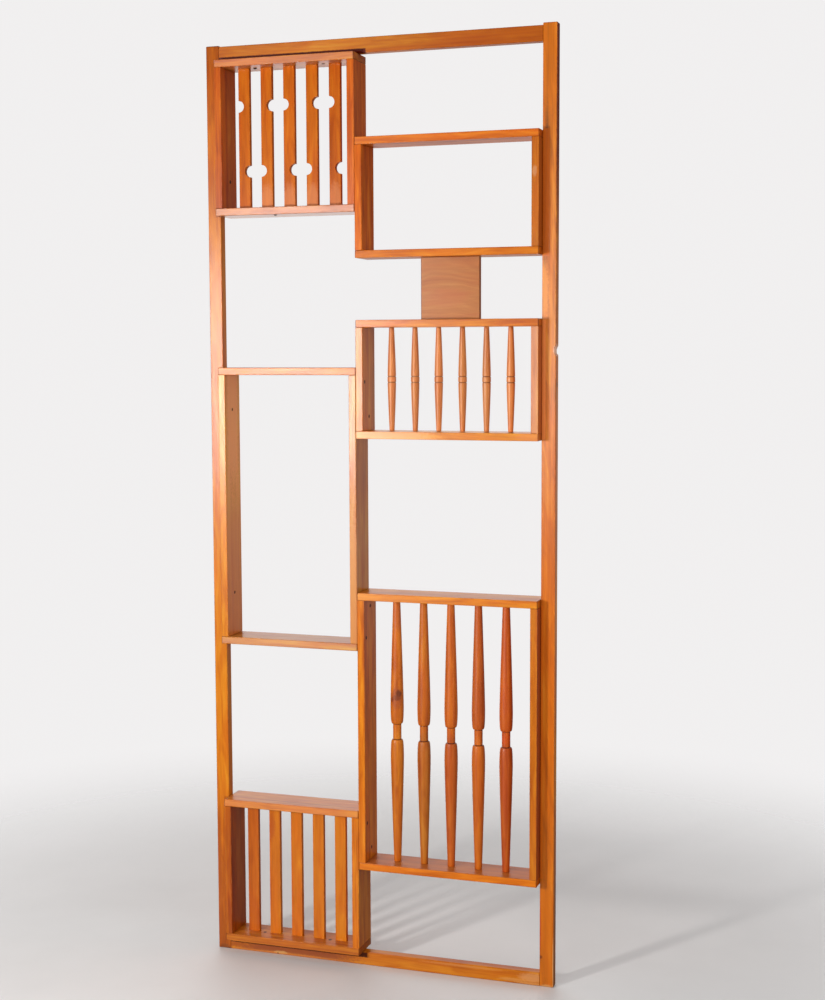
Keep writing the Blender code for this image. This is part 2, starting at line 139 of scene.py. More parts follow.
# the stain, from where it has sunk in deepest to the palest streaks
STAIN = ((0.00, (0.300, 0.052, 0.0015)), (0.25, (0.440, 0.092, 0.0025)), (0.50, (0.590, 0.150, 0.0045)),
         (0.75, (0.700, 0.220, 0.0090)), (1.00, (0.800, 0.330, 0.0300)))


def tinted(colour, tone, warm):
    """Colour times tone; warm above 0 turns it to red-brown, below 0 to yellow."""
    r, g, b = colour
    return (min(r * tone, 0.9), g * tone * (1 - warm), b * tone * (1 - 0.5 * warm))


def wood(name, lo, hi, grain="z", tone=1.0, warm=0.0, seed=0, stain=STAIN, figure=1.0, cloudy=1.0,
         wave=1.0, ring=1.0, slant=0.0, shift=0.0, rough=0.36, gloss=1.0, edge=0.25, fade=(), marks=(),
         knots=(), bands=(), halves=None, turned=False, ends=0.80, seams=0.9):
    """Stained and varnished beech.  lo and hi are the piece's corners; grain is the
    axis the fibres follow.  shift makes the whole stain paler, fade does so along the
    piece, slant lets the figure run out to one side, marks are spots of another colour,
    knots bend the rings round them, bands are dark rings in turned grooves and halves
    tints the lower and the upper half of a turned piece."""
    rng = random.Random(seed * 7919 + 11)
    n = Nodes(name)
    u_axis, v_axis, w_axis = AXES[grain]
    centre = (Vector(lo) + Vector(hi)) / 2
    half = (Vector(hi) - Vector(lo)) / 2
    place = n.vec("SUBTRACT", n.add("ShaderNodeTexCoord").outputs["Object"], tuple(centre))
    axes = n.split(place)
    u, v, w = axes[u_axis], axes[v_axis], axes[w_axis]
    drift = rng.uniform(-40, 40)

    across = n.math("MULTIPLY_ADD", u, slant, v) if slant else v

    def along(ku, kv):
        """A place in noise space, stretched along the grain."""
        return n.xyz(n.math("MULTIPLY_ADD", u, ku, drift), n.math("MULTIPLY", across, kv), n.math("MULTIPLY", w, kv))

    # slow wander of the grain along the piece
    bend = n.add("ShaderNodeTexNoise")
    n.put(bend.inputs["Vector"], along(2.4 * wave, 9.0))
    for key, number in (("Scale", 1.0), ("Detail", 2.0), ("Roughness", 0.45)):
        bend.inputs[key].default_value = number
    bent = n.split(n.vec("SCALE", n.vec("SUBTRACT", bend.outputs["Color"], (0.5, 0.5, 0.5)), scale=0.020 * wave))
    pith_v = rng.choice((-1, 1)) * rng.uniform(0.010, 0.060)
    pith_w = rng.choice((-1, 1)) * rng.uniform(0.035, 0.085)
    lean = rng.choice((-1, 1)) * rng.uniform(0.004, 0.026) * wave
    vv = n.math("ADD", n.math("MULTIPLY_ADD", u, lean, n.math("SUBTRACT", v, pith_v)), bent[1])
    ww = n.math("ADD", n.math("MULTIPLY_ADD", u, lean * 0.6, n.math("SUBTRACT", w, pith_w)), bent[2])
    radius = n.vec("LENGTH", n.xyz(0.0, vv, ww))
    for spot, size in knots:
        away = n.vec("LENGTH", n.vec("DIVIDE", n.vec("SUBTRACT", place, tuple(Vector(spot) - centre)), size))
        radius = n.math("ADD", radius, n.math("MULTIPLY", n.math("POWER", 2.718, n.math("MULTIPLY", n.math("POWER", away, 2.0), -1.0)), 0.012))

    # broad growth zones, thin rings, fibres, and how unevenly the stain has taken
    zones = n.noise(n.math("ADD", radius, drift), 62.0 * ring, 2.0, 0.45, dims="1D")
    rings = n.noise(n.math("ADD", radius, drift + 3.0), 330.0 * ring, 2.0, 0.55, dims="1D")
    fibre = n.noise(along(16.0, 560.0), 1.0, 3.0, 0.6)
    fleck = n.span(n.noise(along(330.0, 1900.0), 1.0, 1.0, 0.4), 0.64, 0.76)
    flow = n.noise(along(9.0, 66.0), 1.0, 2.0, 0.5, 0.9)
    cloud = n.noise(along(3.6, 24.0), 1.0, 3.0, 0.5, 0.5)
    fields = ((zones, 0.62 * figure), (rings, 0.34 * figure), (fibre, 0.26), (flow, 0.80 * cloudy), (cloud, 0.70 * cloudy))
    amount = 0.5 + shift - sum(weight for field, weight in fields) / 2
    for field, weight in fields:
        amount = n.math("MULTIPLY_ADD", field, weight, amount)
    if fade:
        place_along = n.math("MULTIPLY_ADD", u, 0.5 / half[u_axis], 0.5)
        level = n.ramp(place_along, [(at, (0.5 + shift,) * 3) for at, shift in fade])
        amount = n.math("ADD", amount, n.math("SUBTRACT", level, 0.5))
    colour = n.ramp(amount, [(at, tinted(c, tone, warm)) for at, c in stain])
    red = n.noise(along(7.0, 52.0), 0.8, 2.0, 0.5, 0.6)
    colour = n.mix(n.span(red, 0.42, 0.70, 0.0, 0.6), colour, n.mix(1.0, colour, (1.0, 0.78, 0.70), "MULTIPLY"))
    colour = n.mix(n.math("MULTIPLY", fleck, 0.30), colour, n.mix(1.0, colour, (0.62, 0.50, 0.42), "MULTIPLY"))

    # end grain drinks more stain
    if not turned:
        normal = n.split(n.add("ShaderNodeNewGeometry").outputs["True Normal"])
        end_grain = n.span(n.math("ABSOLUTE", normal[u_axis]), 0.72, 0.92)
        colour = n.mix(end_grain, colour, n.mix(1.0, colour, (ends, ends * 0.86, ends * 0.8), "MULTIPLY"))

    for at, half_width, strength in bands:
        close = n.span(n.math("ABSOLUTE", n.math("SUBTRACT", u, at)), half_width, half_width * 0.35)
        colour = n.mix(n.math("MULTIPLY", close, strength), colour, (0.120, 0.028, 0.008))
    if halves:
        below, above = halves
        middle = n.span(n.math("MULTIPLY_ADD", fibre, 0.03, u), 0.0, 0.03)
        colour = n.mix(1.0, colour, n.mix(middle, below, above), "MULTIPLY")

    roughness = n.math("MULTIPLY_ADD", n.noise(along(7.0, 60.0), 1.7, 2.0, 0.5), 0.16, rough - 0.08)
    roughness = n.math("MULTIPLY_ADD", fibre, 0.08, roughness)
    if not turned:
        # wear: distance to the nearest edge of the piece, from its own box
        gaps = [n.math("SUBTRACT", half[i], n.math("ABSOLUTE", axes[i])) for i in range(3)]
        least, most = n.math("MINIMUM", gaps[0], gaps[1]), n.math("MAXIMUM", gaps[0], gaps[1])
        to_edge = n.math("MAXIMUM", least, n.math("MINIMUM", most, gaps[2]))
        rub = n.noise(n.vec("ADD", place, (drift, drift, 0.0)), 46.0, 3.0, 0.6)
        worn = n.math("MULTIPLY", n.span(to_edge, 0.0018, 0.0003), n.span(rub, 0.50, 0.68))
        colour = n.mix(n.math("MULTIPLY", worn, edge), colour, (0.78, 0.36, 0.10))
        grime = n.math("MULTIPLY", n.span(to_edge, 0.0046, 0.0012), n.span(rub, 0.60, 0.38))
        colour = n.mix(n.math("MULTIPLY", grime, 0.20), colour, n.mix(1.0, colour, (0.55, 0.42, 0.34), "MULTIPLY"))
        roughness = n.math("MULTIPLY_ADD", worn, 0.18, roughness)
        seam = n.math("MULTIPLY", n.span(gaps[u_axis], 0.0030, 0.0008), n.span(rub, 0.25, 0.55, 0.6, 1.0))
        seam = n.math("MULTIPLY", seam, n.math("SUBTRACT", 1.0, end_grain))
        colour = n.mix(n.math("MULTIPLY", seam, seams), colour, n.mix(1.0, colour, (0.34, 0.24, 0.18), "MULTIPLY"))
    for spot, size, tint, strength, *shape in marks:
        away = n.vec("SUBTRACT", place, tuple(Vector(spot) - centre))
        ragged = n.noise(n.vec("ADD", place, (drift, 1.0, drift)), 160.0, 3.0, 0.6)
        if "crisp" in shape:        # a block of colour whose border is a few millimetres wide
            border = min(0.0030, 0.5 * min(size))
            sides = n.split(n.vec("SUBTRACT", n.vec("ABSOLUTE", away), tuple(size)))
            beyond = n.math("MAXIMUM", n.math("MAXIMUM", sides[0], sides[1]), sides[2])
            beyond = n.math("MULTIPLY_ADD", n.math("SUBTRACT", ragged, 0.5), border, beyond)
            cover = n.span(beyond, 0.0, -border)
        else:
            away = n.vec("DIVIDE", away, size)
            if "square" in shape:
                sides = n.split(n.vec("ABSOLUTE", away))
                away = n.math("MAXIMUM", n.math("MAXIMUM", sides[0], sides[1]), sides[2])
            else:
                away = n.vec("LENGTH", away)
            cover = n.span(n.math("MULTIPLY_ADD", n.math("SUBTRACT", ragged, 0.5), 0.7, away), 1.0, 0.45)
        colour = n.mix(n.math("MULTIPLY", cover, strength), colour, tint)

    n.put(n.shader.inputs["Base Color"], colour)
    n.put(n.shader.inputs["Roughness"], n.math("MINIMUM", n.math("MAXIMUM", roughness, 0.18), 0.8))
    n.shader.inputs["Specular IOR Level"].default_value = 0.5 * gloss
    if not turned:
        # the fibres spread a reflection across the grain and keep it short along it
        n.shader.inputs["Anisotropic"].default_value = 0.75
        n.put(n.shader.inputs["Tangent"], n.add("ShaderNodeTangent", direction_type="RADIAL", axis="X" if grain == "x" else "Z").outputs[0])
    n.shader.inputs["Coat Weight"].default_value = (0.03 if turned else 0.14) * gloss
    n.shader.inputs["Coat Roughness"].default_value = 0.15
    n.shader.inputs["Coat IOR"].default_value = 1.5
    height = n.math("MULTIPLY_ADD", fibre, 0.5, n.math("MULTIPLY", fleck, -0.5))
    fine = n.add("ShaderNodeBump")
    fine.inputs["Strength"].default_value = 0.20
    fine.inputs["Distance"].default_value = 0.0002
    n.put(fine.inputs["Height"], height)
    swell = n.add("ShaderNodeBump")
    swell.inputs["Strength"].default_value = 0.35
    swell.inputs["Distance"].default_value = 0.0008
    n.put(swell.inputs["Height"], n.noise(along(9.0, 34.0), 1.0, 1.0, 0.4))
    n.put(swell.inputs["Normal"], fine.outputs[0])
    n.put(n.shader.inputs["Normal"], swell.outputs[0])
    return n.mat


def steel(name, seed):
    """Dark, dull screw steel with brown blotches."""
    n = Nodes(name)
    at = n.add("ShaderNodeTexCoord").outputs["Object"]
    blot = n.noise(n.vec("ADD", at, (seed, 0.0, 0.0)), 900.0, 3.0, 0.6)
    n.put(n.shader.inputs["Base Color"], n.ramp(blot, [(0.30, (0.020, 0.008, 0.004)), (0.55, (0.062, 0.026, 0.012)), (0.75, (0.12, 0.060, 0.030))]))
    n.put(n.shader.inputs["Roughness"], n.span(blot, 0.3, 0.7, 0.45, 0.70))
    n.shader.inputs["Metallic"].default_value = 0.35
    return n.mat


# ================================================================== pieces
def dress(obj, mat):
    obj.data.materials.clear()
    obj.data.materials.append(mat)


def group(name):
    """Empty modifier node group with a geometry input and output; gives back the group and both sockets."""
    g = bpy.data.node_groups.new(name, "GeometryNodeTree")
    for way in ("INPUT", "OUTPUT"):
        g.interface.new_socket("Geometry", in_out=way, socket_type="NodeSocketGeometry")
    return g, g.nodes.new("NodeGroupInput").outputs[0], g.nodes.new("NodeGroupOutput").inputs[0]


def plain_normals():
    """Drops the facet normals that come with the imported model."""
    g, start, end = group("plain_normals")
    reset = g.nodes.new("GeometryNodeSetMeshNormal")
    g.links.new(start, reset.inputs[0])
    g.links.new(reset.outputs[0], end)
    return g


def true_normals():
    """Planed and broken faces shade dead flat; the rounded edges between them blend
    from one planed face to the next."""
    g, start, end = group("true_normals")
    new, link = g.nodes.new, g.links.new

    def number(operation, a, b):
        node = new("ShaderNodeMath")
        node.operation = operation
        link(a, node.inputs[0])
        if isinstance(b, float):
            node.inputs[1].default_value = b
        else:
            link(b, node.inputs[1])
        return node.outputs[0]

    def vector(operation, a, scale=None):
        node = new("ShaderNodeVectorMath")
        node.operation = operation
        link(a, node.inputs[0])
        if scale is not None:
            link(scale, node.inputs["Scale"])
        return node.outputs["Value"] if operation == "LENGTH" else node.outputs[0]

    def on(domain, kind, value):
        node = new("GeometryNodeFieldOnDomain")
        node.domain, node.data_type = domain, kind
        link(value, node.inputs[0])
        return node.outputs[0]

    def either(test, no, yes):
        node = new("GeometryNodeSwitch")
        node.input_type = "VECTOR"
        for socket, value in zip(node.inputs, (test, no, yes)):
            link(value, socket)
        return node.outputs[0]

    normal = on("FACE", "FLOAT_VECTOR", new("GeometryNodeInputNormal").outputs[0])
    parts = new("ShaderNodeSeparateXYZ")
    link(vector("ABSOLUTE", normal), parts.inputs[0])
    square = number("MAXIMUM", number("MAXIMUM", parts.outputs[0], parts.outputs[1]), parts.outputs[2])
    planed = on("FACE", "FLOAT", number("GREATER_THAN", square, 0.99995))
    raw = new("GeometryNodeInputNamedAttribute")
    raw.data_type = "BOOLEAN"
    raw.inputs["Name"].default_value = "raw"
    flat = number("MAXIMUM", planed, on("FACE", "FLOAT", raw.outputs["Attribute"]))
    beside = on("POINT", "FLOAT_VECTOR", on("FACE", "FLOAT_VECTOR", vector("SCALE", normal, planed)))
    mean = on("POINT", "FLOAT_VECTOR", normal)
    touches = number("GREATER_THAN", vector("LENGTH", beside), 0.001)
    rounded = either(touches, vector("NORMALIZE", mean), vector("NORMALIZE", beside))
    put = new("GeometryNodeSetMeshNormal")
    put.mode, put.domain = "FREE", "CORNER"
    link(start, put.inputs[0])
    link(either(flat, rounded, normal), put.inputs["Custom Normal"])
    link(put.outputs[0], end)
    return g


RESET, TRUE = plain_normals(), true_normals()


def chipped(hollows):
    """Splintered hollows broken out of an edge, each with its centre and size."""
    g, start, end = group("chipped")
    new, link = g.nodes.new, g.links.new
    ball = new("GeometryNodeMeshIcoSphere")
    ball.inputs["Radius"].default_value = 1.0
    ball.inputs["Subdivisions"].default_value = 4
    rough = new("ShaderNodeTexNoise")
    rough.inputs["Scale"].default_value = 1.7
    rough.inputs["Detail"].default_value = 3.0
    shift = new("ShaderNodeVectorMath")
    shift.operation = "SUBTRACT"
    shift.inputs[1].default_value = (0.5, 0.5, 0.5)
    link(rough.outputs["Color"], shift.inputs[0])
    raw = new("GeometryNodeStoreNamedAttribute")
    raw.data_type, raw.domain = "BOOLEAN", "FACE"
    raw.inputs["Name"].default_value = "raw"
    raw.inputs["Value"].default_value = True
    link(ball.outputs[0], raw.inputs["Geometry"])
    shaken = new("GeometryNodeSetPosition")
    link(raw.outputs[0], shaken.inputs["Geometry"])
    link(shift.outputs[0], shaken.inputs["Offset"])
    body = start
    for centre, size in hollows:
        place = new("GeometryNodeTransform")
        place.inputs["Translation"].default_value = centre
        place.inputs["Scale"].default_value = size
        link(shaken.outputs[0], place.inputs["Geometry"])
        cut = new("GeometryNodeMeshBoolean")
        cut.operation, cut.solver = "DIFFERENCE", "EXACT"
        cut.inputs["Self Intersection"].default_value = True
        link(body, cut.inputs["Mesh 1"])
        link(place.outputs[0], cut.inputs["Mesh 2"])
        body = cut.outputs["Mesh"]
    link(body, end)
    return g


def soften(obj, width=0.0005, segments=2, fresh=False, chip=None):
    """Weld the facets, make the flats whole again, then round every sharp edge."""
    if not fresh:
        obj.modifiers.new("plain", "NODES").node_group = RESET
        weld = obj.modifiers.new("weld", "WELD")
        weld.merge_threshold = 0.00001
        flats = obj.modifiers.new("flats", "DECIMATE")
        flats.decimate_type = "DISSOLVE"
        flats.angle_limit = math.radians(0.5)
    bevel = obj.modifiers.new("bevel", "BEVEL")
    bevel.width = width
    bevel.segments = segments
    bevel.limit_method = "ANGLE"
    bevel.angle_limit = math.radians(30)
    bevel.use_clamp_overlap = False
    if chip:
        obj.modifiers.new("chip", "NODES").node_group = chip
    obj.modifiers.new("true", "NODES").node_group = TRUE


def dress_board(name, grain, chip=None, **settings):
    lo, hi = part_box(name)
    settings.setdefault("seed", sum(ord(c) * (i + 3) for i, c in enumerate(name)))
    rng = random.Random(settings["seed"])
    settings.setdefault("tone", rng.uniform(0.95, 1.05))
    settings.setdefault("warm", rng.uniform(-0.04, 0.04))
    dress(nodes[name], wood("finish_" + name, lo, hi, grain, **settings))
    soften(nodes[name], chip=chip)


# how the stain has taken, from the palest boards to the deepest
PALE = dict(shift=0.24, tone=0.94, warm=-0.06)
GOLDEN = dict(shift=0.07, tone=1.02, warm=-0.10)
PLAIN = dict(shift=0.0, tone=1.04, warm=-0.04)
RED = dict(shift=-0.04, tone=1.02, warm=0.10)
DEEP = dict(shift=-0.10, tone=0.86, warm=0.10)
MATTE = dict(gloss=0.45, rough=0.44)
GLOSSY = dict(gloss=1.5, rough=0.33)
CALM = dict(figure=0.55, cloudy=0.55)



def inner(box):
    """Inside faces of a board box: x of the left one, x of the right one, z of both."""
    left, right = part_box(box + "_left_board"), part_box(box + "_right_board")
    top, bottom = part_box(box + "_top_board"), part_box(box + "_bottom_board")
    return left[1].x, right[0].x, bottom[1].z, top[0].z


def gap_middles(stem):
    boxes = [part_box("%s_%d" % (stem, i + 1)) for i in range(5)]
    return [(boxes[a][1].x + boxes[a + 1][0].x) / 2 for a in (0, 3)]


def head_of(node, drive):
    """Where the head of a CAD screw sits: on the box's near side."""
    lo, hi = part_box(node)
    near = [hi[i] if drive[i] < 0 else lo[i] for i in range(3)]
    return tuple(near[i] - drive[i] * 0.0002 if drive[i] else (lo[i] + hi[i]) / 2 for i in range(3))


# every screw: name, board whose face shows its head, place of the head, way it goes in, CAD node
LEFT, RIGHT, UP, DOWN = (-1, 0, 0), (1, 0, 0), (0, 0, 1), (0, 0, -1)
SCREWS = []
for node in sorted(k for k in nodes if k.startswith("screw_")):
    board = {"screw_ta": "tall_open_box_left_board", "screw_sp": "spindle_box_left_board",
             "screw_ba": "baluster_box_left_board", "screw_pl": "plain_slat_box_bottom_board"}[node[:8]]
    way = DOWN if "rail" in node else LEFT
    SCREWS.append(("fine_" + node, board, head_of(node, way), way, node))
nx0, nx1, nz0, nz1 = inner("notched_slat_box")
for i, x in enumerate(gap_middles("notched_slat")):
    SCREWS.append(("screw_notched_slat_box_to_rail_%d" % (i + 1), "notched_slat_box_top_board", (x, -0.003, nz1), UP, None))
SCREWS.append(("screw_notched_slat_box_to_stile", "notched_slat_box_left_board", (nx0, 0.006, 2.0515), LEFT, None))
for i, (y, z) in enumerate(((-0.030, 2.105), (0.0015, 2.020))):
    SCREWS.append(("screw_notched_slat_box_to_open_box_%d" % (i + 1), "notched_slat_box_right_board", (nx1, y, z), RIGHT, None))
for box, inset in (("upper_open_box", 0.075), ("spindle_box", 0.075), ("baluster_box", 0.120)):
    x0, x1, z0, z1 = inner(box)
    for i, z in enumerate((z0 - 0.019 + inset, z1 + 0.019 - inset)):
        SCREWS.append(("screw_%s_to_stile_%d" % (box, i + 1), box + "_right_board", (x1, 0.0, z), RIGHT, None))


def own_marks(board):
    """The spots of a board, and dark rings where stain and dirt have gathered round its screws."""
    spots = [tuple(rest) for name, *rest in SPOTS if name == board]
    ring = (0.0046, (0.26, 0.060, 0.015), 0.7) if board == "tall_open_box_left_board" else (0.0066, (0.080, 0.017, 0.005), 0.9)
    return spots + [(point, (ring[0],) * 3, *ring[1:]) for _, at, point, _, _ in SCREWS if at == board]


BOARDS = {
    "notched_slat_box": dict(left=dict(RED, tone=0.94, warm=0.20), right=dict(RED, tone=1.10, warm=0.22),
                             top=dict(GOLDEN, tone=0.94, warm=0.0), bottom=dict(PLAIN, tone=0.87, **GLOSSY)),
    "tall_open_box": dict(left=dict(PALE, tone=1.0, warm=-0.08, gloss=1.2, fade=((0.0, -0.10), (0.25, -0.04), (0.5, 0.10), (1.0, 0.0))),
                          right=dict(PALE, tone=0.78, warm=0.0, gloss=1.4, fade=((0.0, 0.24), (0.25, 0.14), (0.6, -0.10), (0.8, 0.0), (1.0, 0.02))),
                          top=dict(PLAIN, tone=0.96), bottom=dict(GOLDEN, tone=0.78, gloss=1.1)),
    "plain_slat_box": dict(left=dict(DEEP, tone=0.76), right=dict(GOLDEN, tone=1.06, warm=0.0),
                           top=dict(GOLDEN, tone=1.0, warm=-0.08), bottom=dict(PLAIN, tone=0.86, **MATTE)),
    "upper_open_box": dict(left=dict(RED, tone=1.12, warm=0.17, **MATTE), right=dict(PLAIN, tone=0.92, warm=-0.10, **MATTE),
                           top=dict(RED, tone=1.13, **MATTE), bottom=dict(PLAIN, tone=0.99, warm=0.06, **MATTE)),
    "spindle_box": dict(left=dict(PALE, tone=0.83, warm=0.04, gloss=1.22), right=dict(PLAIN, tone=0.94, gloss=1.3),
                        top=dict(GOLDEN, tone=1.0, warm=-0.02), bottom=dict(PALE, tone=1.06, shift=0.24, warm=-0.14)),
    "baluster_box": dict(left=dict(PLAIN, tone=1.10), right=dict(PLAIN, tone=0.98), top=dict(GOLDEN, tone=1.10, gloss=0.72),
                         bottom=dict(PLAIN, tone=1.15, warm=0.02, gloss=0.36)),
}
# figure, stray painted light spots and painted shade that single boards show: board, place, size, colour, strength
SPOTS = (("spindle_box_top_board", (0.3600, -0.046, 1.6820), (0.0450, 0.020, 0.0065), (0.42, 0.075, 0.012), 0.55),
         ("spindle_box_top_board", (0.2500, -0.046, 1.6870), (0.0500, 0.020, 0.0040), (0.50, 0.100, 0.018), 0.40),
         # painted sheen patch near the top of the board's front
         ("upper_open_box_right_board", (0.4180, -0.046, 2.0443), (0.0072, 0.010, 0.0180), (0.76, 0.40, 0.20), 0.42),
         ("upper_open_box_right_board", (0.4190, -0.046, 1.9600), (0.0120, 0.010, 0.0900), (0.56, 0.118, 0.003), 0.55),
         ("spindle_box_bottom_board", (0.4160, -0.046, 1.4000), (0.0600, 0.020, 0.0160), (0.74, 0.230, 0.060), 0.60),
         # painted shade on the right end of the board, beside the stile
         ("spindle_box_bottom_board", (0.4287, 0.0, 1.4000), (0.0016, 0.060, 0.0200), (0.36, 0.060, 0.012), 0.60, "crisp"),
         ("spindle_box_bottom_board", (0.0300, -0.046, 1.4000), (0.1600, 0.020, 0.0200), (0.93, 0.390, 0.160), 0.60, "square"),
         ("tall_open_box_right_board", (-0.0565, -0.046, 0.9800), (0.0300, 0.010, 0.280), (0.72, 0.300, 0.110), 0.60, "square"),
         # paler inner face of the left board: partly paler wood, partly painted light falling from the right
         ("tall_open_box_left_board", (-0.4097, 0.0, 0.9800), (0.0030, 0.060, 0.320), (0.78, 0.235, 0.070), 0.60, "square"),
         ("tall_open_box_left_board", (-0.4097, 0.0, 1.5000), (0.0300, 0.0455, 0.330), (0.98, 0.36, 0.10), 0.85, "square"),
         # painted shade on the right outer faces of the three boxes, beside the stile
         ("upper_open_box_right_board", (0.4287, 0.0, 1.9955), (0.0016, 0.060, 0.180), (0.36, 0.050, 0.002), 0.55, "crisp"),
         ("spindle_box_right_board", (0.4287, 0.0, 1.5405), (0.0016, 0.060, 0.180), (0.42, 0.062, 0.012), 0.55, "crisp"),
         ("baluster_box_right_board", (0.4287, 0.0, 0.6310), (0.0016, 0.060, 0.450), (0.28, 0.026, 0.001), 0.80, "crisp"),
         # painted shade on the top face of the bottom board, under the balusters
         ("baluster_box_bottom_board", (0.1910, 0.0, 0.2865), (0.300, 0.060, 0.0016), (0.34, 0.105, 0.035), 0.55, "crisp"))
for box, boards in BOARDS.items():
    for side in ("left", "right"):
        name = "%s_%s_board" % (box, side)
        dress_board(name, "zy", marks=own_marks(name), **boards[side])
    for side in ("top", "bottom"):
        name = "%s_%s_board" % (box, side)
        dress_board(name, "x", marks=own_marks(name), **boards[side])

FRONT = -0.013      # front face of the frame
dress_board("left_stile", "z", **dict(GOLDEN, tone=0.99, warm=-0.06), slant=0.01,
            fade=((0.0, -0.44), (0.04, -0.32), (0.12, -0.26), (0.20, -0.08), (0.29, 0.09), (0.40, -0.06), (0.50, -0.13),
                  (0.57, -0.10), (0.70, -0.18), (0.80, -0.04), (0.86, -0.07), (0.92, -0.26), (1.0, -0.46)),
            # the first three marks are painted shade on the stile's inner edge beside the three left boxes
            marks=[((-0.4345, FRONT, 2.1582), (0.0100, 0.010, 0.2000), (0.30, 0.055, 0.004), 0.50, "crisp"),
                   ((-0.4345, FRONT, 1.2070), (0.0100, 0.010, 0.3640), (0.48, 0.130, 0.020), 0.40, "crisp"),
                   ((-0.4345, FRONT, 0.2290), (0.0100, 0.010, 0.1940), (0.30, 0.055, 0.004), 0.50, "crisp"),
                   ((-0.4600, FRONT, 0.190), (0.0100, 0.012, 0.260), (0.36, 0.066, 0.007), 0.50),
                   ((-0.4690, FRONT, 1.060), (0.0035, 0.012, 0.055), (0.30, 0.060, 0.006), 0.55),
                   ((-0.4700, FRONT, 1.030), (0.0050, 0.012, 0.012), (0.13, 0.026, 0.005), 0.60),
                   ((-0.4465, FRONT, 0.004), (0.0200, 0.030, 0.010), (0.17, 0.050, 0.014), 0.60)])
OLIVE = ((0.00, (0.250, 0.070, 0.0030)), (0.25, (0.410, 0.108, 0.0040)), (0.50, (0.570, 0.152, 0.0050)),
         (0.75, (0.700, 0.225, 0.0100)), (1.00, (0.820, 0.340, 0.0350)))
dress_board("right_stile", "z", tone=1.05, warm=0.0, stain=OLIVE, slant=0.11, cloudy=1.2, figure=1.35,
            chip=chipped((((0.4664, -0.002, 1.6120), (0.0047, 0.030, 0.0125)), ((0.4664, 0.0150, 1.6116), (0.0064, 0.0150, 0.0120)),
                         ((0.4650, -0.0130, 1.6128), (0.0050, 0.0085, 0.0145)))),
            fade=((0.0, -0.16), (0.16, -0.10), (0.30, 0.02), (0.44, 0.04), (0.50, -0.02), (0.58, -0.03), (0.68, 0.14), (0.75, 0.06),
                  (0.90, -0.03), (1.0, -0.04)),
            marks=[((0.4520, FRONT, 2.330), (0.0340, 0.010, 0.190), (0.76, 0.180, 0.002), 0.50, "square"),
                   ((0.4520, FRONT, 0.800), (0.0340, 0.010, 0.750), (0.68, 0.135, 0.001), 0.45, "square"),
                   # painted shade: the upper open box's cast shadow on the stile, tinted golden-brown
                   ((0.4300, FRONT, 1.995), (0.0185, 0.010, 0.155), (0.66, 0.128, 0.001), 0.64, "crisp"),
                   ((0.4290, FRONT, 1.760), (0.0230, 0.010, 0.100), (0.98, 0.360, 0.060), 0.60),
                   # painted light lifting the spindle box's cast shadow on the stile
                   ((0.4290, FRONT, 1.540), (0.0110, 0.010, 0.148), (0.92, 0.280, 0.070), 0.75, "crisp"),
                   # painted light lifting the baluster box's cast shadow on the stile
                   ((0.4290, FRONT, 0.630), (0.0080, 0.010, 0.350), (0.80, 0.150, 0.002), 0.60, "crisp"),
                   ((0.4500, FRONT, 0.130), (0.0300, 0.010, 0.190), (0.62, 0.142, 0.001), 0.70, "square"),
                   ((0.4300, FRONT, 0.152), (0.0042, 0.010, 0.082), (0.50, 0.055, 0.003), 0.80),
                   ((0.4325, FRONT, 0.077), (0.0050, 0.010, 0.006), (0.16, 0.020, 0.003), 0.80),
                   ((0.4470, FRONT, 0.002), (0.0190, 0.016, 0.006), (0.74, 0.40, 0.15), 0.55),
                   ((0.4642, FRONT, 0.060), (0.0022, 0.004, 0.090), (0.76, 0.42, 0.16), 0.60),
                   # pale raw wood inside the chip, made brighter than the wood as painted light where the hollow lies
                   # in shade
                   ((0.4650, -0.002, 1.6125), (0.0082, 0.040, 0.0180), (1.00, 0.62, 0.44), 0.92),
                   ((0.4660, 0.003, 2.4000), (0.0030, 0.0250, 0.560), (0.17, 0.010, 0.001), 0.90, "square"),
                   ((0.4650, -0.001, 1.5275), (0.0020, 0.006, 0.009), (0.06, 0.018, 0.008), 0.80)])
dress_board("top_rail", "x", **dict(GOLDEN, tone=0.82, warm=-0.04, gloss=0.35, rough=0.42), cloudy=0.9, figure=0.8,
            fade=((0.0, -0.16), (0.14, -0.06), (0.30, 0.06), (0.46, 0.06), (0.62, -0.04), (0.84, -0.18), (1.0, -0.24)),
            marks=[((0.3300, FRONT, 2.3752), (0.200, 0.010, 0.060), (0.46, 0.085, 0.004), 0.45),
                   # painted shadow: the dark line on the rail just above the notched slat box, where the box's top
                   # board casts its shadow up onto the rail
                   ((-0.2290, FRONT, 2.3590), (0.2040, 0.010, 0.0092), (0.080, 0.002, 0.0001), 0.98, "crisp")])
